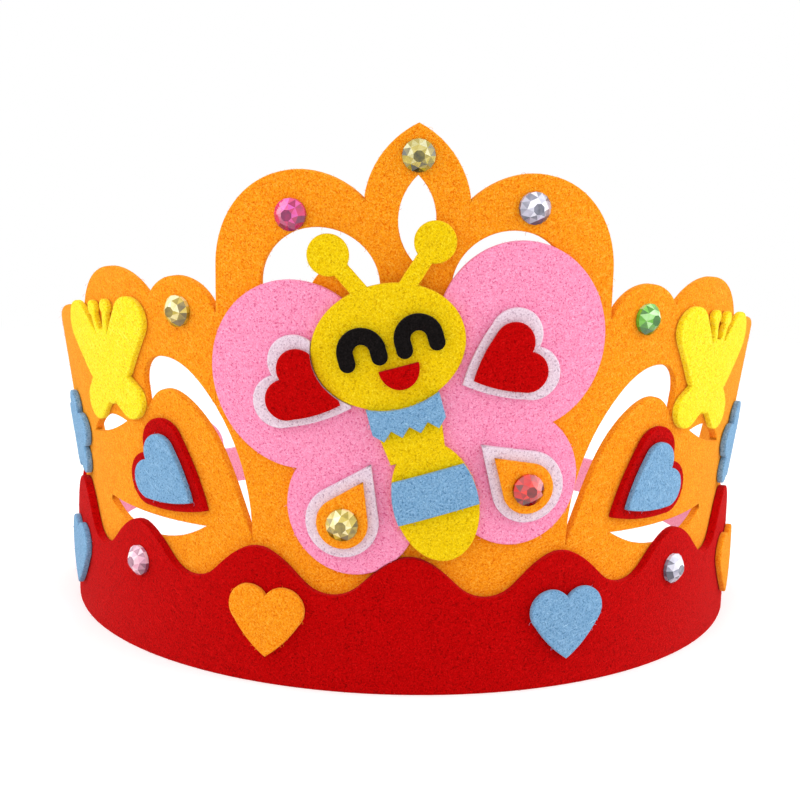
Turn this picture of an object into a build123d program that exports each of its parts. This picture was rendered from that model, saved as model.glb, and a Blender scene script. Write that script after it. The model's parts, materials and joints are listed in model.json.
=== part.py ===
from build123d import *
import os
from functools import cache
from math import asin, atan2, cos, degrees, hypot, radians, sin, sqrt, tan

# Felt and glue
panel_inner_radius = 81.0
sheet_felt = 2.0
applique_felt = 1.5
glue_gap = 0.1
trim_gap = 0.15

# Above the band the sides lean out, and the front stays upright
flare_angle = 10.0
flare_height = 40.0

# Crown outline, angles from the front centre
crown_height = 127.3
ogive_angle = 7.9
ogive_rise = 15.8
ogive_bulge = 2.4
loop_angle = 17.6
loop_half_width = 20.3
loop_rise = 21.7
loop_centre_drop = 32.3
side_lobe_angle = 39.7
side_lobe_end_angle = 45.1
side_lobe_height = 91.2
side_notch_front_drop = 7.0
side_notch_rear_drop = 5.6
rear_lobe_angle = 52.6
rear_lobe_end_angle = 64.0
rear_lobe_height = 91.0
tail_lobe_angle = 80.0
tail_lobe_drop = 16.5
tail_notch_drop = 12.0
panel_end_angle = 100.0
panel_end_drop = 41.0

# Openings in the crown panel
marquise_drop = 11.0
marquise_length = 19.4
marquise_half_width = 4.1
eyelet_angle = 14.6
eyelet_drop = 3.0
eyelet_half_width = 13.3
eyelet_rise = 12.5
eyelet_tongue_shift = -3.5
eyelet_tongue_drop = 9.0
eyelet_tongue_half_width = 6.5
eyelet_tongue_rise = 10.0
crescent_angle = 37.0
crescent_tip = (-16.8, 33.0)
crescent_outer_low = (-13.7, 51.0)
crescent_outer_high = (-5.5, 65.1)
crescent_crown = (4.9, 72.0)
crescent_shoulder = (11.5, 71.2)
crescent_heel_top = (14.3, 65.2)
crescent_heel_bottom = (13.3, 59.2)
crescent_inner_high = (6.0, 64.7)
crescent_inner_mid = (-2.4, 60.6)
crescent_inner_low = (-10.4, 49.2)
under_slot_angle = 47.4
under_slot_half_length = 19.1
under_slot_height = 34.0
under_slot_top_sag = 0.5
under_slot_depth = 5.6
rear_slot_angle = 58.5
rear_slot_half_length = 9.4
rear_slot_height = 51.5
rear_slot_slope = 18.0
rear_slot_rise = 2.8
rear_slot_sag = 1.0

# Scalloped band
scallop_pitch_angle = 24.0
scallops_each_side = 4
scallop_peak = 32.0
rear_scallop = 3
rear_scallop_rise = 2.4
scallop_valley = 22.4

# Back straps
strap_lap_angle = 92.0
long_strap_end_angle = 234.0
long_strap_bottom = 9.5
long_strap_width = 10.5
tab_end_angle = 221.0
tab_bottom = 11.0
tab_width = 20.0

# Bee wings, in the tilted frame of the wings
wing_centre = (1.0, 66.0)
wing_tilt = 11.0
upper_wing_x = 25.0
upper_wing_y = 11.0
upper_wing_half_width = 18.9
upper_wing_half_height = 21.0
lower_wing_x = 18.0
lower_wing_y = -20.0
lower_wing_half_width = 14.5
lower_wing_half_height = 15.3
wing_waist_width = 32.0
wing_waist_height = 40.0

# Hearts and drops on the wings
lobe_share = 0.275
heart_bulge = 0.03
wing_heart_width = 21.5
wing_heart_length = 21.0
wing_heart_scale = 0.76
wing_heart_inset = 2.6
left_heart_tip = (-14.2, 2.5)
left_heart_turn = 60.0
right_heart_tip = (10.4, 3.5)
right_heart_turn = -75.5
drop_tip_x = 12.2
drop_tip_y = -10.6
drop_turn = 36.1
drop_length = 14.6
drop_radius = 8.1
drop_inset = 4.0
drop_rim = 2.4

# Bee, in the tilted frame of its body
bee_centre = (1.0, 56.0)
bee_tilt = 16.0
head_height = 24.5
head_half_width = 17.0
head_half_height = 13.7
thorax_top = 13.0
thorax_top_half_width = 8.0
waist_half_width = 6.2
waist_depth = 1.0
tail_shift = 1.2
tail_height = -11.5
tail_half_width = 9.4
tail_half_height = 13.8
antenna_width = 3.7
antenna_ball_radius = 4.6
left_antenna_root = (-1.5, 35.0)
left_antenna_ball = (-7.4, 46.8)
right_antenna_root = (6.0, 35.0)
right_antenna_ball = (15.6, 43.8)
eye_gap = 12.8
eye_centre_x = 0.5
eye_base_height = 23.1
eye_radius = 5.4
eye_stroke = 3.6
eye_leg = 1.8
mouth_x = 1.1
mouth_height = 19.9
mouth_half_width = 4.5
mouth_depth = 5.0
collar_half_width = 8.2
collar_top = 13.0
collar_valley = 6.7
collar_point = 4.7
collar_points = 4
stripe_top = -4.6
stripe_bottom = -14.3

# Hearts on the sides and on the band
side_heart_angle = 43.0
side_heart_tip = (-14.2, 38.0)
side_heart_turn = -60.5
side_heart_width = 23.0
side_heart_length = 24.5
side_heart_scale = 0.74
side_heart_inset = 3.4
left_band_heart_angle = 21.9
right_band_heart_angle = 24.8
band_heart_tip_height = 6.9
band_heart_width = 18.4
band_heart_length = 16.6
rear_heart_angle = 71.5

# Butterflies and flowers on the sides
butterfly_angle = 55.5
butterfly_height = 67.0
butterfly_turn = 10.0
butterfly_body_width = 4.4
butterfly_body_height = 18.0
fore_wing_x = 8.4
fore_wing_y = 6.2
fore_wing_length = 22.0
fore_wing_width = 11.0
fore_wing_turn = 52.0
hind_wing_x = 6.0
hind_wing_y = -6.5
hind_wing_length = 14.0
hind_wing_width = 9.0
hind_wing_turn = -42.0
feeler_width = 1.8
feeler_ball_radius = 1.8
feeler_x = 3.0
feeler_y = 14.0
flower_angle = 74.0
flower_height = 45.0
petal_count = 5
petal_radius = 4.2
petal_reach = 6.6

# Faceted stones
stone_radius = 3.6
stone_sides = 12
stone_girdle = 0.9
stone_crown = 1.7
stone_slope = 42.0
top_stone_drop = 6.8
left_loop_stone_angle = 19.1
left_loop_stone_rise = 12.0
right_loop_stone_angle = 17.7
right_loop_stone_rise = 14.4
side_stone_angle = 38.8
side_stone_drop = 7.8
band_stone_angle = 47.6
band_stone_drop = 9.7

loop_centre_height = crown_height - loop_centre_drop
side_notch_front_height = side_lobe_height - side_notch_front_drop
side_notch_rear_height = side_lobe_height - side_notch_rear_drop
tail_notch_height = rear_lobe_height - tail_notch_drop
tail_lobe_height = rear_lobe_height - tail_lobe_drop
panel_end_height = rear_lobe_height - panel_end_drop
panel_radius = panel_inner_radius + sheet_felt
first_level = panel_radius + glue_gap
second_level = first_level + applique_felt + glue_gap
third_level = second_level + applique_felt + glue_gap
fourth_level = third_level + applique_felt + glue_gap
band_radius = first_level + sheet_felt
band_level = band_radius + glue_gap
prism_reach = 2 * fourth_level
headroom = crown_height + sheet_felt
quarter_turn = 90.0
half_turn = 2 * quarter_turn
full_turn = 2 * half_turn


def face_plane(angle):
    turn = radians(angle)
    return Plane(origin=(0, 0, 0), x_dir=(cos(turn), sin(turn), 0), z_dir=(sin(turn), -cos(turn), 0))


def ring_sector(inner, thickness, start, end, low, high):
    strip = Pos(inner + thickness / 2, (low + high) / 2) * Rectangle(thickness, high - low)
    ring = revolve(Plane.XZ * strip, Axis.Z, end - start)
    return Rot(0, 0, start - quarter_turn) * ring


# A tilted cone on a cylinder: both touch one ball, so they meet in a flat ellipse
@cache
def flared_plug(radius):
    lean = radians(flare_angle)
    joint = Plane(origin=(0, -radius, flare_height), x_dir=(1, 0, 0), z_dir=(0, tan(lean) / 2, 1))
    seam = Rot(0, 0, quarter_turn)
    foot = seam * extrude(Circle(radius), amount=headroom)
    spread = headroom * tan(lean)
    waist = radius / cos(lean)
    bell = Pos(0, 0, flare_height) * Rot(-flare_angle, 0, 0) * seam * Cone(
        waist - spread, waist + spread, 2 * headroom
    )
    return split(foot, joint, keep=Keep.BOTTOM) + split(bell, joint, keep=Keep.TOP)


@cache
def flared_ring(inner, thickness):
    return flared_plug(inner + thickness) - flared_plug(inner)


def surface_plane(level, angle, height):
    outward = face_plane(angle).z_dir
    hits = flared_plug(level).find_intersection_points(Axis((0, 0, height), outward))
    spot, normal = max(hits, key=lambda hit: hit[0].dot(outward))
    return Plane(origin=spot, x_dir=face_plane(angle).x_dir, z_dir=normal)


def across(angle, centre, height):
    spot = surface_plane(panel_radius, angle, height).origin
    return hypot(spot.X, spot.Y) * sin(radians(angle - centre))


def prism(outline, angle):
    return extrude(face_plane(angle) * outline, amount=prism_reach)


def shell(outline, angle, inner):
    return (flared_ring(inner, applique_felt) & prism(outline, angle)).solid()


def mirrored(shape):
    return mirror(shape, about=Plane.YZ)


def below(top, left, right):
    left_foot = Line((left[0], 0), left)
    right_foot = Line(right, (right[0], 0))
    base = Line((right[0], 0), (left[0], 0))
    return make_face(left_foot + top + right_foot + base)


def bar(start, end, width):
    run = (end[0] - start[0], end[1] - start[1])
    middle = Pos((start[0] + end[0]) / 2, (start[1] + end[1]) / 2)
    return middle * Rot(0, 0, degrees(atan2(run[1], run[0]))) * Rectangle(hypot(*run), width)


def heart(width, length):
    lobe = width * lobe_share
    side_x = width / 2 - lobe
    side_y = length - lobe
    reach = hypot(side_x, side_y)
    tangent = sqrt(reach**2 - lobe**2)
    slant = atan2(side_y, side_x) - asin(lobe / reach)
    touch = (tangent * cos(slant), tangent * sin(slant))
    bulge = heart_bulge * width
    belly = (touch[0] / 2 + bulge * sin(slant), touch[1] / 2 - bulge * cos(slant))
    outline = ThreePointArc((0, 0), belly, touch)
    outline += Polyline(touch, (side_x, side_y), (-side_x, side_y), (-touch[0], touch[1]))
    outline += ThreePointArc((-touch[0], touch[1]), (-belly[0], belly[1]), (0, 0))
    lobes = Pos(side_x, side_y) * Circle(lobe) + Pos(-side_x, side_y) * Circle(lobe)
    return make_face(outline) + lobes


def drop(radius, length):
    slant = asin(radius / length)
    tangent = sqrt(length**2 - radius**2)
    touch = (tangent * sin(slant), -tangent * cos(slant))
    corners = [(0, 0), (-touch[0], touch[1]), (0, -length), touch]
    return Polygon(*corners, align=None) + Pos(0, -length) * Circle(radius)


def lens(half_length, rise, sag):
    upper = ThreePointArc((-half_length, 0), (0, rise), (half_length, 0))
    lower = ThreePointArc((half_length, 0), (0, sag), (-half_length, 0))
    return make_face(upper + lower)


def stone(level, angle, height):
    outline = RegularPolygon(stone_radius, stone_sides)
    girdle = extrude(outline, amount=stone_girdle)
    crown = extrude(Pos(0, 0, stone_girdle) * outline, amount=stone_crown, taper=stone_slope)
    return surface_plane(level, angle, height).location * (girdle + crown)


# Crown panel, built lobe by lobe from the front to the back
ogive_notch_height = crown_height - ogive_rise
ogive_x = across(ogive_angle, 0, ogive_notch_height)
ogive_side = hypot(ogive_x, ogive_rise)
ogive_mid = (
    ogive_x / 2 + ogive_bulge * ogive_rise / ogive_side,
    (crown_height + ogive_notch_height) / 2 + ogive_bulge * ogive_x / ogive_side,
)
ogive_arc_left = ThreePointArc(
    (-ogive_x, ogive_notch_height), (-ogive_mid[0], ogive_mid[1]), (0, crown_height)
)
ogive_arc_right = ThreePointArc((0, crown_height), ogive_mid, (ogive_x, ogive_notch_height))
ogive_face = below(
    ogive_arc_left + ogive_arc_right, (-ogive_x, ogive_notch_height), (ogive_x, ogive_notch_height)
)
loop_end_angle = loop_angle + degrees(asin(loop_half_width / panel_radius))
loop_face = Pos(0, loop_centre_height) * Ellipse(loop_half_width, loop_rise)
loop_face += Pos(0, loop_centre_height / 2) * Rectangle(2 * loop_half_width, loop_centre_height)
side_left = (across(loop_end_angle, side_lobe_angle, side_notch_front_height), side_notch_front_height)
side_right = (across(side_lobe_end_angle, side_lobe_angle, side_notch_rear_height), side_notch_rear_height)
side_face = below(ThreePointArc(side_left, (0, side_lobe_height), side_right), side_left, side_right)
rear_left = (across(side_lobe_end_angle, rear_lobe_angle, side_notch_rear_height), side_notch_rear_height)
rear_right = (across(rear_lobe_end_angle, rear_lobe_angle, tail_notch_height), tail_notch_height)
rear_face = below(ThreePointArc(rear_left, (0, rear_lobe_height), rear_right), rear_left, rear_right)
tail_left = (across(rear_lobe_end_angle, tail_lobe_angle, tail_notch_height), tail_notch_height)
tail_right = (across(panel_end_angle, tail_lobe_angle, panel_end_height), panel_end_height)
tail_face = below(ThreePointArc(tail_left, (0, tail_lobe_height), tail_right), tail_left, tail_right)


def panel_section(outline, angle, start, end):
    wedge = ring_sector(panel_inner_radius / 2, panel_radius, start, end, 0, headroom)
    return flared_ring(panel_inner_radius, sheet_felt) & wedge & prism(outline, angle)


panel = panel_section(ogive_face, 0, -ogive_angle, ogive_angle)
side_sections = [
    panel_section(loop_face, loop_angle, ogive_angle, loop_end_angle),
    panel_section(side_face, side_lobe_angle, loop_end_angle, side_lobe_end_angle),
    panel_section(rear_face, rear_lobe_angle, side_lobe_end_angle, rear_lobe_end_angle),
    panel_section(tail_face, tail_lobe_angle, rear_lobe_end_angle, panel_end_angle),
]
for section in side_sections:
    panel = panel + section + mirrored(section)

marquise_height = crown_height - marquise_drop - marquise_length / 2
marquise = Rot(0, 0, quarter_turn) * lens(
    marquise_length / 2, marquise_half_width, -marquise_half_width
)
eyelet = Pos(0, loop_centre_height - eyelet_drop) * Ellipse(eyelet_half_width, eyelet_rise)
eyelet -= Pos(eyelet_tongue_shift, loop_centre_height - eyelet_tongue_drop) * Ellipse(
    eyelet_tongue_half_width, eyelet_tongue_rise
)
crescent_outer = Spline(
    crescent_tip,
    crescent_outer_low,
    crescent_outer_high,
    crescent_crown,
    crescent_shoulder,
    crescent_heel_top,
)
crescent_inner = Spline(
    crescent_heel_bottom, crescent_inner_high, crescent_inner_mid, crescent_inner_low, crescent_tip
)
crescent = make_face(crescent_outer + Line(crescent_heel_top, crescent_heel_bottom) + crescent_inner)
under_slot = Pos(0, under_slot_height) * lens(
    under_slot_half_length, -under_slot_top_sag, -under_slot_depth
)
rear_slot = Pos(0, rear_slot_height) * Rot(0, 0, -rear_slot_slope) * lens(
    rear_slot_half_length, rear_slot_rise, -rear_slot_sag
)
panel -= prism(Pos(0, marquise_height) * marquise, 0)
side_openings = [
    prism(eyelet, eyelet_angle),
    prism(crescent, crescent_angle),
    prism(under_slot, under_slot_angle),
    prism(rear_slot, rear_slot_angle),
]
for opening in side_openings:
    panel = panel - opening - mirrored(opening)


# Scalloped band around the foot of the panel
def band_section(step, inner, thickness, lift):
    middle = step * scallop_pitch_angle
    half_width = band_radius * sin(radians(scallop_pitch_angle / 2))
    left = (-half_width, scallop_valley + lift)
    right = (half_width, scallop_valley + lift)
    peak_height = scallop_peak + rear_scallop_rise * (step == rear_scallop)
    middle_height = (peak_height + scallop_valley) / 2 + lift
    rising = (-half_width / 2, middle_height)
    falling = (half_width / 2, middle_height)
    peak = (0, peak_height + lift)
    wave = Spline(left, rising, peak, falling, right, tangents=((1, 0), (1, 0)))
    start = max(-panel_end_angle, middle - scallop_pitch_angle / 2)
    end = min(panel_end_angle, middle + scallop_pitch_angle / 2)
    ring = ring_sector(inner, thickness, start, end, 0, headroom)
    return ring & prism(below(wave, left, right), middle)


band = band_section(0, first_level, sheet_felt, 0)
band_clearance = band_section(0, panel_radius, sheet_felt, trim_gap)
for step in range(1, scallops_each_side + 1):
    right_section = band_section(step, first_level, sheet_felt, 0)
    band = band + right_section + mirrored(right_section)
    right_clearance = band_section(step, panel_radius, sheet_felt, trim_gap)
    band_clearance = band_clearance + right_clearance + mirrored(right_clearance)


# Back straps: the rounded tab lies inside, the long strap runs outside its end
tab_inner_radius = panel_inner_radius - glue_gap - applique_felt
tab_start = full_turn - strap_lap_angle
tab_angle = (tab_start + tab_end_angle) / 2
tab_radius = tab_width / 2
tab_reach = tab_inner_radius * sin(radians(tab_start - tab_angle))
tab_face = Pos(tab_radius, 0) * Rectangle(2 * tab_reach, tab_width)
tab_face += Pos(tab_radius - tab_reach, 0) * Circle(tab_radius)
tab_ring = ring_sector(tab_inner_radius, applique_felt, tab_end_angle, tab_start, 0, headroom)
tab = tab_ring & prism(Pos(0, tab_bottom + tab_radius) * tab_face, tab_angle)
right_lap = (strap_lap_angle + panel_end_angle) / 2
left_lap = (tab_end_angle + long_strap_end_angle) / 2
strap_half_span = (left_lap - right_lap) / 2
strap_bias = radians((right_lap + left_lap) / 2 + quarter_turn)
strap_shift = (applique_felt + glue_gap) / 2 / sin(radians(strap_half_span))
strap_inner_radius = tab_inner_radius + (applique_felt + glue_gap) / 2
long_strap = Pos(strap_shift * sin(strap_bias), -strap_shift * cos(strap_bias), 0) * ring_sector(
    strap_inner_radius, applique_felt, strap_lap_angle, long_strap_end_angle,
    long_strap_bottom, long_strap_bottom + long_strap_width
)

# Bee wings
wing_frame = Pos(*wing_centre) * Rot(0, 0, wing_tilt)
wing_face = Rectangle(wing_waist_width, wing_waist_height)
for side in (-1, 1):
    wing_face += Pos(side * upper_wing_x, upper_wing_y) * Ellipse(
        upper_wing_half_width, upper_wing_half_height
    )
    wing_face += Pos(side * lower_wing_x, lower_wing_y) * Ellipse(
        lower_wing_half_width, lower_wing_half_height
    )
wings = (shell(wing_frame * wing_face, 0, first_level) - band_clearance).solid()

# Bee body with its antennae
bee_frame = Pos(*bee_centre) * Rot(0, 0, bee_tilt)
head_face = Pos(0, head_height) * Ellipse(head_half_width, head_half_height)
thorax_face = Polygon(
    (-thorax_top_half_width, thorax_top),
    (-waist_half_width, -waist_depth),
    (waist_half_width, -waist_depth),
    (thorax_top_half_width, thorax_top),
    align=None,
)
tail_egg = Pos(tail_shift, tail_height) * Ellipse(tail_half_width, tail_half_height)
bee_face = head_face + thorax_face + tail_egg
for root, ball in ((left_antenna_root, left_antenna_ball), (right_antenna_root, right_antenna_ball)):
    bee_face += bar(root, ball, antenna_width) + Pos(*ball) * Circle(antenna_ball_radius)
bee = shell(bee_frame * bee_face, 0, second_level)
head_clearance = prism(
    bee_frame * Pos(0, head_height)
    * Ellipse(head_half_width + trim_gap, head_half_height + trim_gap),
    0,
)

# Bee trim
eye_face = Pos(0, eye_leg) * Circle(eye_radius)
eye_face += Pos(0, eye_leg / 2) * Rectangle(2 * eye_radius, eye_leg)
eye_slot = eye_radius - eye_stroke
eye_face -= Pos(0, eye_leg) * Circle(eye_slot)
eye_face -= Rectangle(2 * eye_slot, 2 * eye_leg)
eye_face -= Pos(0, -eye_radius) * Rectangle(2 * eye_radius, 2 * eye_radius)
for side in (-1, 1):
    eye_face += Pos(side * (eye_radius - eye_stroke / 2), 0) * Circle(eye_stroke / 2)
mouth_face = Ellipse(mouth_half_width, mouth_depth)
mouth_face -= Pos(0, mouth_depth) * Rectangle(2 * mouth_half_width, 2 * mouth_depth)
collar_pitch = 2 * collar_half_width / collar_points
collar_corners = [(-collar_half_width, collar_top)]
for index in range(collar_points):
    collar_corners.append((-collar_half_width + index * collar_pitch, collar_valley))
    collar_corners.append((-collar_half_width + (index + 1 / 2) * collar_pitch, collar_point))
collar_corners.append((collar_half_width, collar_valley))
collar_corners.append((collar_half_width, collar_top))
collar_face = Polygon(*collar_corners, align=None) - head_face
stripe_face = tail_egg & Pos(tail_shift, (stripe_top + stripe_bottom) / 2) * Rectangle(
    2 * tail_half_width, stripe_top - stripe_bottom
)


def bee_trim(outline):
    return shell(bee_frame * outline, 0, third_level)


eye_left_x = eye_centre_x - eye_gap / 2
eye_right_x = eye_centre_x + eye_gap / 2


# Hearts and drops on the wings
def wing_heart(tip, turn, inset, scale, level):
    face = Pos(*tip) * Rot(0, 0, turn) * Pos(0, inset) * heart(
        scale * wing_heart_width, scale * wing_heart_length
    )
    return (shell(wing_frame * face, 0, level) - head_clearance).solid()


def wing_drop(side, radius, inset, level):
    face = Pos(side * drop_tip_x, drop_tip_y) * Rot(0, 0, side * drop_turn) * Pos(0, -inset) * drop(
        radius, drop_length - inset
    )
    return shell(wing_frame * face, 0, level)


def drop_stone(side):
    centre = wing_frame * Pos(side * drop_tip_x, drop_tip_y) * Rot(0, 0, side * drop_turn)
    spot = (centre * Pos(0, -drop_length)).position
    angle = degrees(asin(spot.X / fourth_level))
    return stone(fourth_level, angle, spot.Y)


# Hearts on the sides and on the band
def side_heart(inset, scale, level):
    face = Pos(*side_heart_tip) * Rot(0, 0, side_heart_turn) * Pos(0, inset) * heart(
        scale * side_heart_width, scale * side_heart_length
    )
    return shell(face, side_heart_angle, level)


def band_heart(angle):
    face = Pos(0, band_heart_tip_height) * heart(band_heart_width, band_heart_length)
    return shell(face, angle, band_level)


# Butterflies and flowers on the sides
butterfly_face = SlotOverall(butterfly_body_height, butterfly_body_width, rotation=quarter_turn)
for side in (-1, 1):
    butterfly_face += Pos(side * fore_wing_x, fore_wing_y) * SlotOverall(
        fore_wing_length, fore_wing_width, rotation=side * fore_wing_turn
    )
    butterfly_face += Pos(side * hind_wing_x, hind_wing_y) * SlotOverall(
        hind_wing_length, hind_wing_width, rotation=side * hind_wing_turn
    )
    butterfly_face += bar((0, 0), (side * feeler_x, feeler_y), feeler_width)
    butterfly_face += Pos(side * feeler_x, feeler_y) * Circle(feeler_ball_radius)
butterfly_frame = Pos(0, butterfly_height) * Rot(0, 0, -butterfly_turn)
butterfly = shell(butterfly_frame * butterfly_face, butterfly_angle, first_level)
flower_face = Circle(petal_reach)
for petal in range(petal_count):
    flower_face += Rot(0, 0, quarter_turn + petal * full_turn / petal_count) * Pos(
        petal_reach, 0
    ) * Circle(petal_radius)
flower = shell(Pos(0, flower_height) * flower_face, flower_angle, first_level)
flower = (flower - band_clearance).solid()


def panel_stone(angle, height):
    return stone(first_level, angle, height)


band_stone = stone(band_level, band_stone_angle, scallop_peak - band_stone_drop)
side_backing = (side_heart(0, 1, first_level) - band_clearance).solid()
side_top = side_heart(side_heart_inset, side_heart_scale, second_level)

nodes = {
    "crown_panel": panel,
    "red_band": band,
    "back_strap_left": tab,
    "back_strap_right": long_strap,
    "butterfly_wings": wings,
    "bee": bee,
    "collar": bee_trim(collar_face),
    "tail_stripe": bee_trim(stripe_face),
    "eye_left": bee_trim(Pos(eye_left_x, eye_base_height) * eye_face),
    "eye_right": bee_trim(Pos(eye_right_x, eye_base_height) * eye_face),
    "mouth": bee_trim(Pos(mouth_x, mouth_height) * mouth_face),
    "wing_heart_backing_left": wing_heart(left_heart_tip, left_heart_turn, 0, 1, second_level),
    "wing_heart_backing_right": wing_heart(right_heart_tip, right_heart_turn, 0, 1, second_level),
    "wing_heart_left": wing_heart(
        left_heart_tip, left_heart_turn, wing_heart_inset, wing_heart_scale, third_level
    ),
    "wing_heart_right": wing_heart(
        right_heart_tip, right_heart_turn, wing_heart_inset, wing_heart_scale, third_level
    ),
    "wing_drop_backing_left": wing_drop(-1, drop_radius, 0, second_level),
    "wing_drop_backing_right": wing_drop(1, drop_radius, 0, second_level),
    "wing_drop_left": wing_drop(-1, drop_radius - drop_rim, drop_inset, third_level),
    "wing_drop_right": wing_drop(1, drop_radius - drop_rim, drop_inset, third_level),
    "drop_gem_left": drop_stone(-1),
    "drop_gem_right": drop_stone(1),
    "crown_gem_top": panel_stone(0, crown_height - top_stone_drop),
    "crown_gem_left": panel_stone(-left_loop_stone_angle, loop_centre_height + left_loop_stone_rise),
    "crown_gem_right": panel_stone(right_loop_stone_angle, loop_centre_height + right_loop_stone_rise),
    "side_gem_left": panel_stone(-side_stone_angle, side_lobe_height - side_stone_drop),
    "side_gem_right": panel_stone(side_stone_angle, side_lobe_height - side_stone_drop),
    "band_gem_left": mirrored(band_stone),
    "band_gem_right": band_stone,
    "side_heart_backing_left": mirrored(side_backing),
    "side_heart_backing_right": side_backing,
    "side_heart_left": mirrored(side_top),
    "side_heart_right": side_top,
    "band_heart_left": band_heart(-left_band_heart_angle),
    "band_heart_right": band_heart(right_band_heart_angle),
    "rear_heart_left": band_heart(-rear_heart_angle),
    "rear_heart_right": band_heart(rear_heart_angle),
    "yellow_butterfly_left": mirrored(butterfly),
    "yellow_butterfly_right": butterfly,
    "blue_flower_left": mirrored(flower),
    "blue_flower_right": flower,
}

# The frame's origin is under the middle of the whole crown
middle = Compound(children=[shape.solid() for shape in nodes.values()]).bounding_box().center()
seat = Pos(-middle.X, -middle.Y, 0)

os.makedirs("parts", exist_ok=True)
for name, shape in nodes.items():
    export_step(seat * shape.solid(), f"parts/{name}.step")
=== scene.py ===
import json
import math
import random

import bmesh
import bpy
from mathutils import Matrix, Vector


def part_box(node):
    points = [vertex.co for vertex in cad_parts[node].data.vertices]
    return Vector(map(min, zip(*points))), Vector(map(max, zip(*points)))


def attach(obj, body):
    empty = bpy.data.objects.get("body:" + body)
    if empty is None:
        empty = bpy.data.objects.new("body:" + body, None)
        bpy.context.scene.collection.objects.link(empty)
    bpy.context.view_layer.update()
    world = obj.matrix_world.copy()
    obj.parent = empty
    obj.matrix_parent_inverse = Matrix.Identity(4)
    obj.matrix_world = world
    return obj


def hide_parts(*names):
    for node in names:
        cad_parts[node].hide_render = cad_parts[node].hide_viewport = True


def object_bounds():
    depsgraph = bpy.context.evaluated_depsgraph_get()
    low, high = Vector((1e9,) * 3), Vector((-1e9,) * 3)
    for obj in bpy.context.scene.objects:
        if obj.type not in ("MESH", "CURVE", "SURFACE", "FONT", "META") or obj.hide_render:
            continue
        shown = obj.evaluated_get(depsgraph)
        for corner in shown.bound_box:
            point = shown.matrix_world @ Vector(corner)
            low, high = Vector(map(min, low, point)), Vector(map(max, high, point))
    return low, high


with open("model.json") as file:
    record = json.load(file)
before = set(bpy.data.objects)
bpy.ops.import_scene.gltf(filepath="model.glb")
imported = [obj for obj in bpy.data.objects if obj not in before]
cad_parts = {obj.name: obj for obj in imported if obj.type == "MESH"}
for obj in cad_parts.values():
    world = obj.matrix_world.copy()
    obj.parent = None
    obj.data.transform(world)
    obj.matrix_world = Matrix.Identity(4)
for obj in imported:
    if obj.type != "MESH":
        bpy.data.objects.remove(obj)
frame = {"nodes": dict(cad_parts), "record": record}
cadLow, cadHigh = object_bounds()
nodes = frame["nodes"]
scene = bpy.context.scene
print("frame loaded:", len(nodes), "nodes")


# ring axis of the crown, worked out from the band's widest points
bandLow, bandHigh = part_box("red_band")
ringRadius = (bandHigh.x - bandLow.x) / 2
ringCentre = Vector((0, bandLow.y + ringRadius, 0))


def linear(colour):
    # sRGB to linear, so a colour can be written as it is seen
    return tuple(c / 12.92 if c <= 0.04045 else ((c + 0.055) / 1.055) ** 2.4 for c in colour) + (1,)


def link(tree, source, target):
    tree.links.new(source, target)


feltLook = {
    "webScale": 2200,         # mottling of the needled web, per metre
    "webDetail": 4,
    "webRoughness": 0.7,
    "webFrom": 0.40,          # noise that reads as shade, and as body colour
    "webTo": 0.58,
    "pitScale": 2300,         # painted shade in the small pits between the fibres
    "pitDetail": 1,
    "pitFrom": 0.56,
    "pitSpread": 0.16,
    "hairScale": 330,         # long streaks of single fibres
    "hairStretch": 12,
    "hairDetail": 2,
    "hairWaver": 0.8,
    "hairFrom": 0.57,
    "hairTo": 0.75,
    "roughness": 0.95,
    "gloss": 0.03,
    "sheen": 0.60,            # pale nap seen along the surface and on cut edges
    "sheenRoughness": 0.45,
    "sheenWhite": 0.06,
    "bumpStrength": 0.55,
    "bumpDepth": 0.00030,
}

feltColours = {  # pit (painted shade in the pits between the fibres), shade, body and fleck of each dyed felt
    "orange_felt": ((0.90, 0.42, 0.00), (0.93, 0.49, 0.01), (0.99, 0.62, 0.09), (1.00, 0.74, 0.27)),
    "red_felt": ((0.52, 0.00, 0.00), (0.66, 0.00, 0.00), (0.74, 0.00, 0.01), (0.84, 0.06, 0.06)),
    "pink_felt": ((0.87, 0.36, 0.54), (0.95, 0.50, 0.66), (0.99, 0.61, 0.76), (1.00, 0.74, 0.86)),
    "pale_felt": ((0.74, 0.62, 0.70), (0.86, 0.76, 0.82), (0.92, 0.84, 0.89), (0.97, 0.91, 0.95)),
    "yellow_felt": ((0.80, 0.62, 0.00), (0.88, 0.71, 0.00), (0.95, 0.81, 0.02), (1.00, 0.90, 0.20)),
    "lemon_felt": ((0.88, 0.70, 0.00), (0.96, 0.83, 0.03), (1.00, 0.91, 0.12), (1.00, 0.96, 0.38)),
    "blue_felt": ((0.30, 0.48, 0.64), (0.40, 0.58, 0.74), (0.48, 0.66, 0.81), (0.64, 0.79, 0.90)),
    "black_felt": ((0.03, 0.02, 0.02), (0.05, 0.04, 0.04), (0.08, 0.07, 0.07), (0.14, 0.12, 0.12)),
    "strap_felt": ((0.90, 0.46, 0.62), (0.95, 0.56, 0.71), (1.00, 0.66, 0.79), (1.00, 0.76, 0.86)),
}

hairDirections = ((0.9, 0.5, 0.35), (-0.7, 0.6, 0.6), (0.25, 0.55, -0.95))


def blended(tree, share, under, over):
    mix = tree.nodes.new("ShaderNodeMix")
    mix.data_type = "RGBA"
    colours = [s for s in mix.inputs if s.type == "RGBA"]
    link(tree, share, mix.inputs["Factor"])
    link(tree, under, colours[0])
    colours[1].default_value = over
    return [s for s in mix.outputs if s.type == "RGBA"][0]


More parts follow.
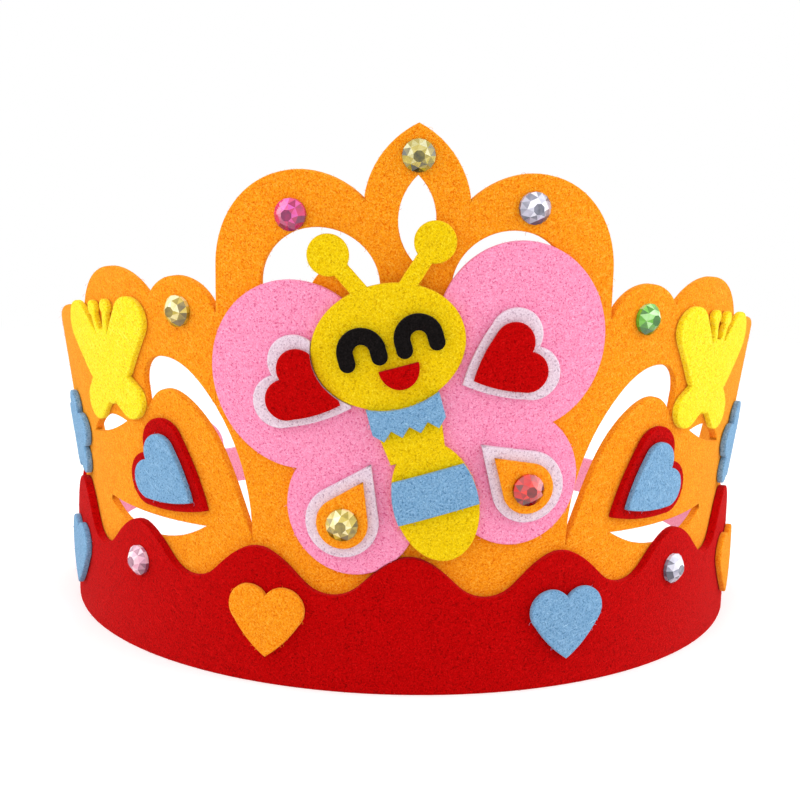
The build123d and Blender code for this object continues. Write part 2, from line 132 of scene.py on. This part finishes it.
def feltMaterial(slotName):
    pitShade, shade, body, fleck = (linear(c) for c in feltColours[slotName])
    mat = bpy.data.materials.new(slotName + " needled")
    mat.use_nodes = True
    tree = mat.node_tree
    shader = tree.nodes["Principled BSDF"]
    shader.inputs["Roughness"].default_value = feltLook["roughness"]
    shader.inputs["Specular IOR Level"].default_value = feltLook["gloss"]
    shader.inputs["Sheen Weight"].default_value = feltLook["sheen"]
    shader.inputs["Sheen Roughness"].default_value = feltLook["sheenRoughness"]
    shader.inputs["Sheen Tint"].default_value = [c + feltLook["sheenWhite"] * (1 - c) for c in fleck]
    coords = tree.nodes.new("ShaderNodeTexCoord")

    web = tree.nodes.new("ShaderNodeTexNoise")  # soft mottling of the web
    web.inputs["Scale"].default_value = feltLook["webScale"]
    web.inputs["Detail"].default_value = feltLook["webDetail"]
    web.inputs["Roughness"].default_value = feltLook["webRoughness"]
    link(tree, coords.outputs["Object"], web.inputs["Vector"])
    webRamp = tree.nodes.new("ShaderNodeValToRGB")
    webRamp.color_ramp.elements[0].position = feltLook["webFrom"]
    webRamp.color_ramp.elements[0].color = shade
    webRamp.color_ramp.elements[1].position = feltLook["webTo"]
    webRamp.color_ramp.elements[1].color = body
    link(tree, web.outputs["Fac"], webRamp.inputs["Fac"])

    hairs = None  # streaks that run three ways over the surface
    for direction in hairDirections:
        turn = tree.nodes.new("ShaderNodeMapping")
        turn.vector_type = "POINT"
        lay = Vector(direction).to_track_quat("X", "Z").inverted()
        turn.inputs["Rotation"].default_value = lay.to_euler()
        stretch = tree.nodes.new("ShaderNodeMapping")
        stretch.inputs["Scale"].default_value = (1, feltLook["hairStretch"], feltLook["hairStretch"])
        streak = tree.nodes.new("ShaderNodeTexNoise")
        streak.inputs["Scale"].default_value = feltLook["hairScale"]
        streak.inputs["Detail"].default_value = feltLook["hairDetail"]
        streak.inputs["Distortion"].default_value = feltLook["hairWaver"]
        link(tree, coords.outputs["Object"], turn.inputs["Vector"])
        link(tree, turn.outputs["Vector"], stretch.inputs["Vector"])
        link(tree, stretch.outputs["Vector"], streak.inputs["Vector"])
        if hairs is None:
            hairs = streak.outputs["Fac"]
        else:
            most = tree.nodes.new("ShaderNodeMath")
            most.operation = "MAXIMUM"
            link(tree, hairs, most.inputs[0])
            link(tree, streak.outputs["Fac"], most.inputs[1])
            hairs = most.outputs["Value"]
    hairRamp = tree.nodes.new("ShaderNodeValToRGB")
    hairRamp.color_ramp.elements[0].position = feltLook["hairFrom"]
    hairRamp.color_ramp.elements[1].position = feltLook["hairTo"]
    link(tree, hairs, hairRamp.inputs["Fac"])

    # painted shade: the pits between the fibres are darkened in the colour itself
    pitShadeNoise = tree.nodes.new("ShaderNodeTexNoise")
    pitShadeNoise.inputs["Scale"].default_value = feltLook["pitScale"]
    pitShadeNoise.inputs["Detail"].default_value = feltLook["pitDetail"]
    link(tree, coords.outputs["Object"], pitShadeNoise.inputs["Vector"])
    pitShadeMask = tree.nodes.new("ShaderNodeMapRange")
    pitShadeMask.inputs["From Min"].default_value = feltLook["pitFrom"]
    pitShadeMask.inputs["From Max"].default_value = feltLook["pitFrom"] + feltLook["pitSpread"]
    link(tree, pitShadeNoise.outputs["Fac"], pitShadeMask.inputs["Value"])

    flecked = blended(tree, hairRamp.outputs["Color"], webRamp.outputs["Color"], fleck)
    pitShaded = blended(tree, pitShadeMask.outputs["Result"], flecked, pitShade)
    link(tree, pitShaded, shader.inputs["Base Color"])

    height = tree.nodes.new("ShaderNodeMath")
    height.operation = "ADD"
    link(tree, web.outputs["Fac"], height.inputs[0])
    link(tree, hairs, height.inputs[1])
    bump = tree.nodes.new("ShaderNodeBump")
    bump.inputs["Strength"].default_value = feltLook["bumpStrength"]
    bump.inputs["Distance"].default_value = feltLook["bumpDepth"]
    link(tree, height.outputs["Value"], bump.inputs["Height"])
    link(tree, bump.outputs["Normal"], shader.inputs["Normal"])
    return mat


feltMaterials = {name: feltMaterial(name) for name in feltColours}
print("felt materials:", len(feltMaterials))


# felt pieces: each CAD piece gets a soft rounded cut edge
cutEdge = {
    "samePoint": 1e-6,
    "round": 0.00034,        # how far the knife edge has softened
    "steps": 2,
    "sharpFrom": 50,         # degrees between faces at a cut edge
    "sheetFacing": 0.75,     # how squarely the sheet's own faces look out from the ring
    "flatBelow": 1,          # degrees between faces that are merged before the rounding
    "unmerged": ("yellow_butterfly_left", "yellow_butterfly_right"),  # slits too fine to merge around
    "sweeps": 8,             # tries at laying folded faces flat
    "laidFlat": 0.3,         # least agreement of normals that counts as flat
    "shadedSharpFrom": 60,   # degrees
}

# a hairline groove runs down the panel beside each loop; the felt closes over it
loopGroove = {
    "node": "crown_panel",
    "angle": 31.76,          # degrees from the front, both ways
    "width": 0.26,           # degrees, at its widest
    "lip": 0.02,             # degrees that the outer lip may stray
    "floorRadius": 0.08299,
    "top": 0.08419,
    "wallFacing": 0.5,       # walls look outward less than this
    "sameHeight": 1e-5,
}


def outFrom(point):
    return Vector((point.x - ringCentre.x, point.y - ringCentre.y, 0))


def degreesFromFront(flat):
    return math.degrees(abs(math.atan2(flat.x, -flat.y)))


def grooveWall(face):
    for v in face.verts:
        flat = outFrom(v.co)
        inward = loopGroove["angle"] - degreesFromFront(flat)
        if not 0 < inward < loopGroove["width"] or flat.length < loopGroove["floorRadius"]:
            return False
    return abs(face.normal.dot(flat.normalized())) < loopGroove["wallFacing"]


def openLoops(bm):
    rest = {e for e in bm.edges if e.is_boundary}
    while rest:
        edge = min(rest, key=lambda e: e.index)
        loop = list(edge.verts)
        while edge:
            rest.remove(edge)
            edge = next((e for e in loop[-1].link_edges if e in rest), None)
            if edge:
                loop.append(edge.other_vert(loop[-1]))
        yield loop[:-1]


def closeGroove(bm):
    top = loopGroove["top"]
    walls = [f for f in bm.faces if grooveWall(f)]
    edges = {e for f in walls for e in f.edges}
    verts = {v for f in walls for v in f.verts}
    bmesh.ops.bisect_plane(
        bm, geom=walls + list(edges) + list(verts), dist=cutEdge["samePoint"],
        plane_co=(0, 0, top), plane_no=(0, 0, 1),
    )
    bm.normal_update()
    walls = [f for f in bm.faces if f.calc_center_median().z < top and grooveWall(f)]
    bmesh.ops.delete(bm, geom=walls, context="FACES")
    bm.edges.index_update()
    outerLip = loopGroove["angle"] - loopGroove["lip"]
    for loop in list(openLoops(bm)):
        inner = [degreesFromFront(outFrom(v.co)) < outerLip for v in loop]
        start = next(i for i in range(len(loop)) if inner[i] and not inner[i - 1])
        loop = loop[start:] + loop[:start]
        left, right = loop[:sum(inner)], loop[:sum(inner) - 1:-1]  # the two lips, run the same way
        way = 1 if left[-1].co.z > left[0].co.z else -1
        i = j = 0
        while i + 1 < len(left) or j + 1 < len(right):
            moreLeft = i + 1 < len(left)
            both = moreLeft and j + 1 < len(right)
            lead = way * (left[i + 1].co.z - right[j + 1].co.z) if both else 0
            if moreLeft and lead < loopGroove["sameHeight"]:
                bm.faces.new((left[i], right[j], left[i + 1]))
                i += 1
            else:
                bm.faces.new((left[i], right[j], right[j + 1]))
                j += 1
    bmesh.ops.recalc_face_normals(bm, faces=bm.faces)


def inOrder(bm):
    # new triangles and turned edges come in any order; sorted, each run gives the same mesh
    bm.verts.index_update()
    for parts in (bm.edges, bm.faces):
        ranked = sorted(parts, key=lambda part: sorted(v.index for v in part.verts))
        for i, part in enumerate(ranked):
            part.index = i
        parts.sort()


def unfold(bm):
    # rounding can push a corner over its neighbour; turning their shared edge lays both flat
    bmesh.ops.triangulate(bm, faces=bm.faces)
    for sweep in range(cutEdge["sweeps"]):
        inOrder(bm)
        bm.normal_update()
        pairs = [e for e in bm.edges if len(e.link_faces) == 2]
        turned = 0
        for e in [e for e in pairs if e.link_faces[0].normal.dot(e.link_faces[1].normal) < 0]:
            if not e.is_valid or len(e.link_faces) != 2:
                continue
            facing = max(e.link_faces, key=lambda f: f.calc_area()).normal.copy()
            made = bmesh.ops.rotate_edges(bm, edges=[e])["edges"]
            if not made:
                continue
            for f in made[0].link_faces:
                f.normal_update()
            if all(f.normal.dot(facing) > cutEdge["laidFlat"] for f in made[0].link_faces):
                turned += 1
            else:  # no better, so it goes back
                for f in bmesh.ops.rotate_edges(bm, edges=made)["edges"][0].link_faces:
                    f.normal_update()
        if not turned:
            break
    inOrder(bm)


def feltPiece(nodeName, slotName):
    bm = bmesh.new()
    bm.from_mesh(nodes[nodeName].data)
    bmesh.ops.remove_doubles(bm, verts=bm.verts, dist=cutEdge["samePoint"])
    if nodeName == loopGroove["node"]:
        closeGroove(bm)
    if nodeName not in cutEdge["unmerged"]:
        bmesh.ops.dissolve_limit(
            bm, angle_limit=math.radians(cutEdge["flatBelow"]), use_dissolve_boundaries=False,
            verts=bm.verts, edges=bm.edges,
        )
    limit = math.radians(cutEdge["sharpFrom"])
    cuts = [e for e in bm.edges if len(e.link_faces) == 2 and e.calc_face_angle() > limit]
    rims = []  # cut edges along the outline, not the short corners through the sheet
    for e in cuts:
        a, b = (f.normal for f in e.link_faces)
        out = outFrom((e.verts[0].co + e.verts[1].co) / 2).normalized()
        if max(abs(a.dot(out)), abs(b.dot(out))) > cutEdge["sheetFacing"]:
            rims.append(e)
    bmesh.ops.bevel(
        bm, geom=rims, offset=cutEdge["round"], offset_type="OFFSET", segments=cutEdge["steps"],
        profile=0.5, affect="EDGES", clamp_overlap=False,
    )
    unfold(bm)
    mesh = bpy.data.meshes.new(nodeName + "_felt")
    bm.to_mesh(mesh)
    bm.free()
    for poly in mesh.polygons:
        poly.use_smooth = True
    mesh.set_sharp_from_angle(angle=math.radians(cutEdge["shadedSharpFrom"]))
    piece = bpy.data.objects.new(nodeName + "_felt", mesh)
    scene.collection.objects.link(piece)
    mesh.materials.append(feltMaterials[slotName])
    even = piece.modifiers.new("evenShading", "WEIGHTED_NORMAL")
    even.keep_sharp = True
    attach(piece, "root")
    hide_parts(nodeName)
    return piece


slotOf = {entry["node"]: entry["material_slot"] for entry in frame["record"]["subparts"]}
feltPieces = {n: feltPiece(n, s) for n, s in slotOf.items() if s in feltColours}
print("felt pieces:", len(feltPieces))


# loose surface hairs, scattered over each colour of felt
fuzz = {
    "perSquareMetre": 420000,
    "length": 0.0011,
    "width": 0.00007,
    "lift": 0.22,            # how far a hair stands off, as a share of its length
    "bends": 3,
    "shortest": 0.55,        # as shares of the length
    "longest": 1.15,
    "seed": 7,
    "underside": -0.7,       # faces that look down more than this grow no hairs
}


def fuzzTree():
    tree = bpy.data.node_groups.new("feltFuzz", "GeometryNodeTree")
    face = tree.interface
    face.new_socket("Geometry", in_out="INPUT", socket_type="NodeSocketGeometry")
    for name, kind in (
        ("Hairs per square metre", "NodeSocketFloat"), ("Hair length", "NodeSocketFloat"),
        ("Hair width", "NodeSocketFloat"), ("Hair lift", "NodeSocketFloat"),
        ("Seed", "NodeSocketInt"), ("Felt", "NodeSocketMaterial"),
    ):
        face.new_socket(name, in_out="INPUT", socket_type=kind)
    face.new_socket("Geometry", in_out="OUTPUT", socket_type="NodeSocketGeometry")

    new = tree.nodes.new
    given = new("NodeGroupInput")
    result = new("NodeGroupOutput")
    spread = new("GeometryNodeDistributePointsOnFaces")
    link(tree, given.outputs["Geometry"], spread.inputs["Mesh"])
    link(tree, given.outputs["Hairs per square metre"], spread.inputs["Density"])
    link(tree, given.outputs["Seed"], spread.inputs["Seed"])

    lengthVector = new("ShaderNodeCombineXYZ")
    link(tree, given.outputs["Hair length"], lengthVector.inputs["X"])
    liftHeight = new("ShaderNodeMath")
    liftHeight.operation = "MULTIPLY"
    link(tree, given.outputs["Hair length"], liftHeight.inputs[0])
    link(tree, given.outputs["Hair lift"], liftHeight.inputs[1])
    half = new("ShaderNodeMath")
    half.operation = "MULTIPLY"
    half.inputs[1].default_value = 0.5
    link(tree, given.outputs["Hair length"], half.inputs[0])
    arch = new("ShaderNodeCombineXYZ")
    link(tree, half.outputs["Value"], arch.inputs["X"])
    link(tree, half.outputs["Value"], arch.inputs["Y"])
    link(tree, liftHeight.outputs["Value"], arch.inputs["Z"])
    path = new("GeometryNodeCurveQuadraticBezier")
    path.inputs["Resolution"].default_value = fuzz["bends"]
    path.inputs["Start"].default_value = (0, 0, 0)
    link(tree, arch.outputs["Vector"], path.inputs["Middle"])
    link(tree, lengthVector.outputs["Vector"], path.inputs["End"])
    widthVector = new("ShaderNodeCombineXYZ")
    link(tree, given.outputs["Hair width"], widthVector.inputs["X"])
    profile = new("GeometryNodeCurvePrimitiveLine")
    profile.inputs["Start"].default_value = (0, 0, 0)
    link(tree, widthVector.outputs["Vector"], profile.inputs["End"])
    hair = new("GeometryNodeCurveToMesh")
    link(tree, path.outputs["Curve"], hair.inputs["Curve"])
    link(tree, profile.outputs["Curve"], hair.inputs["Profile Curve"])

    place = new("GeometryNodeInstanceOnPoints")
    link(tree, spread.outputs["Points"], place.inputs["Points"])
    link(tree, hair.outputs["Mesh"], place.inputs["Instance"])
    link(tree, spread.outputs["Rotation"], place.inputs["Rotation"])
    size = new("FunctionNodeRandomValue")
    size.data_type = "FLOAT"
    size.inputs[2].default_value = fuzz["shortest"]
    size.inputs[3].default_value = fuzz["longest"]
    link(tree, given.outputs["Seed"], size.inputs["Seed"])
    link(tree, size.outputs[1], place.inputs["Scale"])
    angle = new("FunctionNodeRandomValue")
    angle.data_type = "FLOAT"
    angle.inputs[2].default_value = 0
    angle.inputs[3].default_value = 2 * math.pi
    link(tree, given.outputs["Seed"], angle.inputs["Seed"])
    spin = new("ShaderNodeCombineXYZ")
    link(tree, angle.outputs[1], spin.inputs["Z"])
    turn = new("GeometryNodeRotateInstances")
    link(tree, place.outputs["Instances"], turn.inputs["Instances"])
    link(tree, spin.outputs["Vector"], turn.inputs["Rotation"])
    real = new("GeometryNodeRealizeInstances")
    link(tree, turn.outputs["Instances"], real.inputs["Geometry"])
    dye = new("GeometryNodeSetMaterial")
    link(tree, real.outputs["Geometry"], dye.inputs["Geometry"])
    link(tree, given.outputs["Felt"], dye.inputs["Material"])
    link(tree, dye.outputs["Geometry"], result.inputs["Geometry"])
    return tree


def feltFuzz(slotName, tree):
    bm = bmesh.new()
    for nodeName, piece in feltPieces.items():
        if slotOf[nodeName] == slotName:
            bm.from_mesh(piece.data)
    ground = [f for f in bm.faces if f.normal.z < fuzz["underside"]]  # no hairs under the rim
    bmesh.ops.delete(bm, geom=ground, context="FACES")
    mesh = bpy.data.meshes.new(slotName + "_base")
    bm.to_mesh(mesh)
    bm.free()
    base = bpy.data.objects.new(slotName + "_base", mesh)
    scene.collection.objects.link(base)
    modifier = base.modifiers.new("feltFuzz", "NODES")
    modifier.node_group = tree
    values = {
        "Hairs per square metre": fuzz["perSquareMetre"], "Hair length": fuzz["length"],
        "Hair width": fuzz["width"], "Hair lift": fuzz["lift"], "Seed": fuzz["seed"],
        "Felt": feltMaterials[slotName],
    }
    for item in tree.interface.items_tree:
        if item.in_out == "INPUT" and item.name in values:
            modifier[item.identifier] = values[item.name]
    graph = bpy.context.evaluated_depsgraph_get()
    hairs = bpy.data.meshes.new_from_object(base.evaluated_get(graph), depsgraph=graph)
    bpy.data.objects.remove(base)
    for vert in hairs.vertices:  # no hair dips under the rim
        vert.co.z = max(vert.co.z, cadLow.z)
    hairs.name = slotName + "_hairs"
    piece = bpy.data.objects.new(slotName + "_hairs", hairs)
    scene.collection.objects.link(piece)
    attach(piece, "root")
    return piece


hairTree = fuzzTree()
hairPieces = [feltFuzz(name, hairTree) for name in feltColours]
print("felt hairs:", sum(len(p.data.polygons) for p in hairPieces), "faces")


# faceted stones, with light and shade painted into each facet's colour
stoneCut = {
    "sides": 8,              # sides of the table; the girdle has twice as many
    "girdle": 0.30,          # heights as shares of the stone's depth
    "break": 0.72,
    "breakRadius": 0.68,     # radii as shares of the stone's radius
    "tableRadius": 0.36,
    "tableTone": 0.06,       # painted facet light, from painted shade (0) to painted highlight (1)
    "starTone": 0.46,
    "outerTone": 0.20,
    "topPaintedLight": 0.30,         # painted light: how much lighter the upper facets are painted than the lower ones
    # random painted glint: each facet is painted a little lighter or darker
    "sparkle": 0.28,
    "seed": 11,
}

stoneLook = {
    "roughness": 0.08,
    "coat": 0.8,
    "coatRoughness": 0.03,
    "lightNoiseScale": 700,       # slight random change of the painted light and shade inside a facet, per metre
    "lightNoiseShare": 0.3,
    "shadedColourAt": 0.15,          # tones at which the painted shade, the clear colour and the painted highlight are reached
    "clearAt": 0.55,
    "litAt": 0.95,
}

stoneColours = {  # painted shade, clear colour and painted highlight of each stone
    "stone_olive": ((0.22, 0.22, 0.12), (0.76, 0.68, 0.20), (0.86, 0.88, 0.76)),
    "stone_magenta": ((0.46, 0.04, 0.30), (0.86, 0.06, 0.42), (0.88, 0.36, 0.76)),
    "stone_clear": ((0.28, 0.29, 0.36), (0.76, 0.76, 0.84), (0.97, 0.97, 1.00)),
    "stone_yellow": ((0.42, 0.35, 0.06), (0.86, 0.76, 0.26), (1.00, 0.98, 0.80)),
    "stone_green": ((0.10, 0.36, 0.06), (0.45, 0.80, 0.22), (0.84, 0.98, 0.78)),
    "stone_rose": ((0.52, 0.30, 0.40), (0.92, 0.66, 0.76), (1.00, 0.95, 0.97)),
    "stone_red": ((0.36, 0.00, 0.01), (0.84, 0.02, 0.04), (0.98, 0.20, 0.14)),
}


def stoneMaterial(slotName):
    shadedColour, clear, lit = (linear(c) for c in stoneColours[slotName])
    mat = bpy.data.materials.new(slotName + " foiled")
    mat.use_nodes = True
    tree = mat.node_tree
    shader = tree.nodes["Principled BSDF"]
    shader.inputs["Roughness"].default_value = stoneLook["roughness"]
    shader.inputs["Coat Weight"].default_value = stoneLook["coat"]
    shader.inputs["Coat Roughness"].default_value = stoneLook["coatRoughness"]
    tone = tree.nodes.new("ShaderNodeAttribute")  # painted light: each facet is given its own tone between painted shade and painted highlight
    tone.attribute_name = "facetPaintedLight"
    coords = tree.nodes.new("ShaderNodeTexCoord")
    lightNoise = tree.nodes.new("ShaderNodeTexNoise")
    lightNoise.inputs["Scale"].default_value = stoneLook["lightNoiseScale"]
    link(tree, coords.outputs["Object"], lightNoise.inputs["Vector"])
    add = tree.nodes.new("ShaderNodeMath")
    add.operation = "MULTIPLY_ADD"
    add.inputs[1].default_value = stoneLook["lightNoiseShare"]
    link(tree, lightNoise.outputs["Fac"], add.inputs[0])
    link(tree, tone.outputs["Fac"], add.inputs[2])
    ramp = tree.nodes.new("ShaderNodeValToRGB")
    ramp.color_ramp.elements[0].position = stoneLook["shadedColourAt"]
    ramp.color_ramp.elements[0].color = shadedColour
    ramp.color_ramp.elements[1].position = stoneLook["litAt"]
    ramp.color_ramp.elements[1].color = lit
    middle = ramp.color_ramp.elements.new(stoneLook["clearAt"])
    middle.color = clear
    link(tree, add.outputs["Value"], ramp.inputs["Fac"])
    link(tree, ramp.outputs["Color"], shader.inputs["Base Color"])
    return mat


stoneMaterials = {name: stoneMaterial(name) for name in stoneColours}


def stonePiece(nodeName, slotName, pick):
    low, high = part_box(nodeName)
    points = [v.co for v in nodes[nodeName].data.vertices]
    centre = (low + high) / 2
    out = outFrom(centre).normalized()
    along = out.cross(Vector((0, 0, 1)))
    foot = min(p.dot(out) for p in points)
    depth = max(p.dot(out) for p in points) - foot
    radius = (high.z - low.z) / 2
    origin = centre + out * (foot - centre.dot(out))
    sides = stoneCut["sides"]

    def ring(count, share, height, offset):
        made = []
        for i in range(count):
            turn = 2 * math.pi * (i + offset) / count
            spot = along * math.cos(turn) + Vector((0, 0, 1)) * math.sin(turn)
            made.append(bm.verts.new(origin + spot * radius * share + out * depth * height))
        return made

    bm = bmesh.new()
    tones = []

    def facet(corners, tone, play):
        bm.faces.new(corners)
        # painted light: upper facets are painted lighter, and each facet gets a random painted glint
        rise = (sum((c.co for c in corners), Vector()).z / len(corners) - origin.z) / radius
        tones.append(tone + stoneCut["topPaintedLight"] * rise + play * pick.uniform(-1, 1))

    back = ring(2 * sides, 1, 0, 0)
    girdle = ring(2 * sides, 1, stoneCut["girdle"], 0)
    broken = ring(sides, stoneCut["breakRadius"], stoneCut["break"], 0)
    table = ring(sides, stoneCut["tableRadius"], 1, 0.5)
    star, outer, play = stoneCut["starTone"], stoneCut["outerTone"], stoneCut["sparkle"]
    facet(back[::-1], stoneCut["tableTone"], 0)
    facet(table, stoneCut["tableTone"], 0)
    for i in range(sides):
        j = (i + 1) % sides
        here, between, after = 2 * i, 2 * i + 1, 2 * j
        facet((back[here], back[between], girdle[between], girdle[here]), outer, play)
        facet((back[between], back[after], girdle[after], girdle[between]), outer, play)
        facet((girdle[here], girdle[between], broken[i]), outer, play)
        facet((girdle[between], girdle[after], broken[j]), outer, play)
        facet((girdle[between], broken[j], broken[i]), outer, play)
        facet((broken[i], broken[j], table[i]), star, play)
        facet((broken[j], table[j], table[i]), star, play)
    mesh = bpy.data.meshes.new(nodeName + "_stone")
    bm.to_mesh(mesh)
    bm.free()
    mesh.attributes.new("facetPaintedLight", "FLOAT", "FACE").data.foreach_set("value", tones)
    mesh.materials.append(stoneMaterials[slotName])
    piece = bpy.data.objects.new(nodeName + "_stone", mesh)
    scene.collection.objects.link(piece)
    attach(piece, "root")
    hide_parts(nodeName)
    return piece


facetPick = random.Random(stoneCut["seed"])
stonePieces = [stonePiece(n, s, facetPick) for n, s in slotOf.items() if s in stoneColours]
print("stones:", len(stonePieces))


# studio: white floor, white surround, five soft lamps
studio = {
    "floorSize": 60.0,
    "floorWhite": 0.90,
    "floorRoughness": 0.9,
    "floorGloss": 0.1,
    "floorGlow": 0.30,
    "shadowReach": (2.2, 5.0),  # ring radii over which the floor fades to plain white
    "surround": 0.42,
    "lamps": (  # place in ring radii from the crown, size in metres, power in watts
        ("key", (-4.5, -8.0, 7.0), 0.9, 2.6),
        ("fill", (5.5, -7.5, 4.5), 1.0, 1.6),
        ("leftSide", (-8.0, -0.5, 4.0), 0.8, 3.3),
        ("rightSide", (8.0, -0.5, 4.0), 0.8, 4.0),
        ("top", (0.5, 2.0, 9.0), 1.1, 2.4),
    ),
}


def whenSeen(tree):
    # one for camera, mirror and see-through rays, so gloss shows the same white
    path = tree.nodes.new("ShaderNodeLightPath")
    first = tree.nodes.new("ShaderNodeMath")
    first.operation = "MAXIMUM"
    link(tree, path.outputs["Is Camera Ray"], first.inputs[0])
    link(tree, path.outputs["Is Glossy Ray"], first.inputs[1])
    second = tree.nodes.new("ShaderNodeMath")
    second.operation = "MAXIMUM"
    link(tree, first.outputs["Value"], second.inputs[0])
    link(tree, path.outputs["Is Transmission Ray"], second.inputs[1])
    return second.outputs["Value"]


def whiteFloor():
    half = studio["floorSize"] / 2
    mesh = bpy.data.meshes.new("white_floor")
    corners = [(-half, -half, 0), (half, -half, 0), (half, half, 0), (-half, half, 0)]
    mesh.from_pydata(corners, [], [(0, 1, 2, 3)])
    mat = bpy.data.materials.new("white_floor")
    mat.use_nodes = True
    tree = mat.node_tree
    shader = tree.nodes["Principled BSDF"]
    white = studio["floorWhite"]
    shader.inputs["Base Color"].default_value = (white, white, white, 1)
    shader.inputs["Roughness"].default_value = studio["floorRoughness"]
    shader.inputs["Specular IOR Level"].default_value = studio["floorGloss"]
    glow = tree.nodes.new("ShaderNodeMath")
    glow.operation = "MULTIPLY"
    glow.inputs[1].default_value = studio["floorGlow"]
    link(tree, whenSeen(tree), glow.inputs[0])
    shader.inputs["Emission Color"].default_value = (1, 1, 1, 1)
    link(tree, glow.outputs["Value"], shader.inputs["Emission Strength"])

    coords = tree.nodes.new("ShaderNodeTexCoord")  # far floor is seen as plain white
    away = tree.nodes.new("ShaderNodeVectorMath")
    away.operation = "LENGTH"
    link(tree, coords.outputs["Object"], away.inputs[0])
    fade = tree.nodes.new("ShaderNodeMapRange")
    fade.interpolation_type = "SMOOTHSTEP"
    fade.inputs["From Min"].default_value = studio["shadowReach"][0] * ringRadius
    fade.inputs["From Max"].default_value = studio["shadowReach"][1] * ringRadius
    link(tree, away.outputs["Value"], fade.inputs["Value"])
    far = tree.nodes.new("ShaderNodeMath")
    far.operation = "MULTIPLY"
    link(tree, fade.outputs["Result"], far.inputs[0])
    link(tree, whenSeen(tree), far.inputs[1])
    plain = tree.nodes.new("ShaderNodeEmission")
    blend = tree.nodes.new("ShaderNodeMixShader")
    link(tree, far.outputs["Value"], blend.inputs["Fac"])
    link(tree, shader.outputs["BSDF"], blend.inputs[1])
    link(tree, plain.outputs["Emission"], blend.inputs[2])
    link(tree, blend.outputs["Shader"], tree.nodes["Material Output"].inputs["Surface"])
    mesh.materials.append(mat)
    floor = bpy.data.objects.new("white_floor", mesh)
    scene.collection.objects.link(floor)


def whiteSurround():
    world = bpy.data.worlds.new("white surround")
    scene.world = world
    world.use_nodes = True
    tree = world.node_tree
    back = tree.nodes["Background"]
    back.inputs["Color"].default_value = (1, 1, 1, 1)
    strength = tree.nodes.new("ShaderNodeMapRange")
    strength.inputs["To Min"].default_value = studio["surround"]
    strength.inputs["To Max"].default_value = 1.0
    link(tree, whenSeen(tree), strength.inputs["Value"])
    link(tree, strength.outputs["Result"], back.inputs["Strength"])


def softLamps():
    aim = ringCentre + Vector((0, 0, (cadHigh.z - cadLow.z) / 2))
    for name, place, size, power in studio["lamps"]:
        data = bpy.data.lights.new(name, "AREA")
        data.size = size
        data.energy = power
        lamp = bpy.data.objects.new(name, data)
        scene.collection.objects.link(lamp)
        lamp.location = ringCentre + Vector(place) * ringRadius
        lamp.rotation_euler = (aim - lamp.location).to_track_quat("-Z", "Y").to_euler()


whiteFloor()
whiteSurround()
softLamps()
print("studio lit")


# camera, found from the rim's and the band's outlines in the picture
shot = {
    "back": 5.60,            # in ring radii from the ring's axis
    "height": 1.79,
    "swing": 1.29,           # degrees the crown is turned to the viewer's right
    "pitch": 12.18,
    "yaw": -0.15,
    "roll": 1.21,
    "focalPixels": 1848,
    "imagePixels": 800,
    "sensorWidth": 36,       # millimetres
    "clipStart": 0.01,
    "clipEnd": 100,
}


def photoCamera():
    swing = Matrix.Rotation(-math.radians(shot["swing"]), 3, "Z")
    pitch, yaw, roll = (math.radians(shot[k]) for k in ("pitch", "yaw", "roll"))
    ahead = Vector((math.sin(yaw) * math.cos(pitch), math.cos(yaw) * math.cos(pitch), -math.sin(pitch)))
    right = ahead.cross(Vector((0, 0, 1))).normalized()
    up = right.cross(ahead)
    leanRight = right * math.cos(roll) + up * math.sin(roll)
    leanUp = up * math.cos(roll) - right * math.sin(roll)
    axes = swing @ Matrix((leanRight, leanUp, -ahead)).transposed()
    place = swing @ (Vector((0, -shot["back"], shot["height"])) * ringRadius) + ringCentre
    data = bpy.data.cameras.new("photo camera")
    data.sensor_width = shot["sensorWidth"]
    data.lens = data.sensor_width * shot["focalPixels"] / shot["imagePixels"]
    data.clip_start = shot["clipStart"]
    data.clip_end = shot["clipEnd"]
    camera = bpy.data.objects.new("photo camera", data)
    scene.collection.objects.link(camera)
    camera.matrix_world = Matrix.Translation(place) @ axes.to_4x4()
    scene.camera = camera


photoCamera()
scene.view_settings.view_transform = "Standard"
bpy.context.view_layer.update()
print("camera set")
